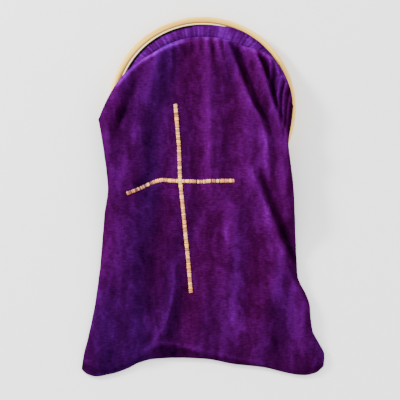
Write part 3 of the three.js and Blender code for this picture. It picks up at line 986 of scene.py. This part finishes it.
def make_seams():
    """The rolled side seams, from the mouth down, and the roll along the hem."""
    v = np.linspace(0.0, HEM_INSET, 220)
    for side, name, nodes in (
        (-1.0, "left_seam", ("side_seam_upper_left", "side_seam_lower_left")),
        (1.0, "right_seam", ("side_seam_upper_right", "side_seam_lower_right")),
    ):
        xy = plan(np.full_like(v, SEAM_INSET * side), v, front_top)
        line = np.column_stack([xy, seam_height(xy[:, 1]) - 0.5])
        to_mouth = front_curl(np.array([side]), line[:1])[:, 0]
        line = np.concatenate([to_mouth, line])
        along = np.linspace(0, 1, len(line))
        uneven = 1 + 0.14 * np.sin(along * 61 + side) * np.sin(along * 23)
        piece = tube(name, line, 0.95 * uneven)
        paint_velvet(piece)
        across_fold(piece)
        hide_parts(*nodes)
    u = np.linspace(-SEAM_INSET, SEAM_INSET, 240)
    xy = plan(u, np.full_like(u, HEM_INSET), front_top)
    uneven = 1 + 0.12 * np.sin(37 * u) * np.sin(10 * u)
    hem = tube("hem_roll", np.column_stack([xy, np.full_like(u, 1.8)]), 1.3 * uneven)
    paint_velvet(hem)
    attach(hem, "bag")
    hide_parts("hem_seam")


# ---- Cross -------------------------------------------------------------------


def surface_of(piece):
    """A function that gives the height of a piece's top at x, y."""
    mesh = piece.data
    tree = BVHTree.FromPolygons([v.co for v in mesh.vertices], [tuple(p.vertices) for p in mesh.polygons])

    def at(x, y):
        frame_x, frame_y, _ = to_frame((x, y, 0))
        place, _, _, _ = tree.ray_cast(Vector((frame_x, frame_y, 0.2)), Vector((0, 0, -1)))
        return place.z / MM

    return at


def braid_painted_light(x, y):
    """Painted light on the braid: a painted highlight where its bars cross, and painted shade on the left
    end.
    """
    crossing = 0.45 * math.exp(-((x + 23) ** 2 + (y + 80) ** 2) / 30)
    return crossing - 0.30 * float(1 - smooth(x, -58, -44))


def dark_thread_share(x, y):
    """The share of dark threads: some on the arm's left end and right of the crossing, none elsewhere."""
    on_arm = float(smooth(y, -97, -90) * (1 - smooth(y, -77, -74)))
    left = float(1 - smooth(x, -56, -44))
    right = float(smooth(x, -14, -8) * (1 - smooth(x, 14, 22)))
    return 0.34 * on_arm * max(left, right)


def satin_stitches(name, line, top, lift=0.0):
    """A band of short threads laid across a line on the cloth, in groups with a darker gap between."""
    line = np.array(line, float)
    lengths = np.linalg.norm(np.diff(line, axis=0), axis=1)
    reach = np.concatenate([[0], np.cumsum(lengths)])

    def place(at):
        return np.array([np.interp(at, reach, line[:, k]) for k in (0, 1)])

    points, faces, shades = [], [], []
    pitch, half_width, thread = 0.55, 1.85, 0.34
    sides, rings = 6, 5
    ends = np.cumsum(rng.uniform(2.2, 5.0, 80))
    for at in np.arange(0.3, reach[-1], pitch):
        x, y = place(at)
        ahead = place(at + 2) - place(at - 2)
        ahead /= np.linalg.norm(ahead)
        across = np.array([-ahead[1], ahead[0]])
        number = int(np.searchsorted(ends, at))
        in_gap = ends[number] - at < pitch or rng.uniform() < dark_thread_share(x, y)
        shade = 0.04 if in_gap else 0.62 + 0.28 * math.sin(number * 2.4) + rng.uniform(-0.22, 0.22)
        half = half_width * (0.92 if in_gap else 1.0) + rng.uniform(-0.2, 0.2)
        skew = rng.normal(0, 0.05)
        # Painted highlight where the bars cross, and painted shade on the arm's left end.
        shade = shade + (0 if in_gap else braid_painted_light(x, y))
        base = len(points)
        for k in range(rings):
            t = 2 * k / (rings - 1) - 1
            centre = np.array([x, y]) + across * half * t + ahead * skew * t
            z = top(*centre)
            round_over = math.sqrt(max(0.0, 1 - (t * 0.93) ** 2))
            z += 0.15 + lift + (0.2 if in_gap else 0.55) * round_over
            size = thread * (0.55 + 0.45 * round_over)
            for s in range(sides):
                turn = s * 2 * np.pi / sides
                points.append((*(centre + ahead * size * math.cos(turn)), z + size * math.sin(turn)))
                shades.append(min(1.0, max(0.0, shade)))
        faces += tube_faces(rings, sides, base)
    piece = make(name, points, faces)
    mark(piece, "shade", shades)
    paint(piece, BRAID)
    return piece


def make_cross(front):
    """The upright, which lies on the arm, and the arm with its bend on the left."""
    top = surface_of(front)
    upright_line = [(-27.2, -0.5), (-23.6, -44), (-22.4, -80), (-18.6, -117), (-14.6, -155), (-11.6, -191)]
    arm_line = [(-75.5, -92.5), (-58, -85), (-46, -80), (-39.5, -78.6), (-22, -80.2), (0, -80.6), (32, -79.5)]
    upright = satin_stitches("cross_upright", upright_line, top, lift=0.35)
    across_fold(upright)
    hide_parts("cross_upright_upper", "cross_upright_lower")
    arm = satin_stitches("cross_arm_stitches", arm_line, top)
    across_fold(arm)
    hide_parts("cross_arm")


# ---- Floor, lights and camera ------------------------------------------------

# In metres, in the frame.
AIM = Vector((-0.0025, -0.0061, 0.004))
DISTANCE = 5.0
FIELD = 0.4  # width of the view at the object
FLOOR_REACH = 15
VIEW_ELEVATION = 77.0  # degrees


def make_camera():
    """The photo's view: steeply from above, a little from the near side."""
    camera = bpy.data.objects.new("camera", bpy.data.cameras.new("camera"))
    bpy.context.scene.collection.objects.link(camera)
    tilt = math.radians(VIEW_ELEVATION)
    back = Vector((0, -math.cos(tilt), math.sin(tilt)))
    camera.location = AIM + back * DISTANCE
    camera.rotation_mode = "QUATERNION"
    camera.rotation_quaternion = (-back).to_track_quat("-Z", "Y")
    camera.data.sensor_width = 36
    camera.data.lens = camera.data.sensor_width * DISTANCE / FIELD
    bpy.context.scene.camera = camera


def area_light(name, place, size, power):
    """A round light that faces the frame's origin."""
    data = bpy.data.lights.new(name, "AREA")
    data.shape, data.size, data.energy = "DISK", size, power
    lamp = bpy.data.objects.new(name, data)
    bpy.context.scene.collection.objects.link(lamp)
    lamp.location = place
    lamp.rotation_mode = "QUATERNION"
    lamp.rotation_quaternion = (-Vector(place)).to_track_quat("-Z", "Y")


def make_stage():
    """A white floor and a bright white surround, with one light from the back left and one from the right."""
    mesh = bpy.data.meshes.new("floor")
    corners = [(x * FLOOR_REACH, y * FLOOR_REACH, 0) for x, y in ((-1, -1), (1, -1), (1, 1), (-1, 1))]
    mesh.from_pydata(corners, [], [(0, 1, 2, 3)])
    floor = bpy.data.objects.new("floor", mesh)
    bpy.context.scene.collection.objects.link(floor)
    floor.location.z = -0.0004
    n = Nodes("floor")
    mesh.materials.append(n.finish(Base_Color=(0.95, 0.95, 0.95, 1), Roughness=0.9))
    world = bpy.data.worlds.new("studio")
    world.use_nodes = True
    background = world.node_tree.nodes["Background"].inputs
    background["Color"].default_value = (1, 1, 1, 1)
    background["Strength"].default_value = 2.0
    bpy.context.scene.world = world
    area_light("key", (-1.3, 0.8, 0.8), size=0.35, power=50)
    area_light("fill", (0.9, -0.5, 1.5), size=1.2, power=10)


make_camera()
make_hoop()
make_header()
make_roll_and_thread()
front_cloth = make_pouch()
make_seams()
make_cross(front_cloth)
make_stage()
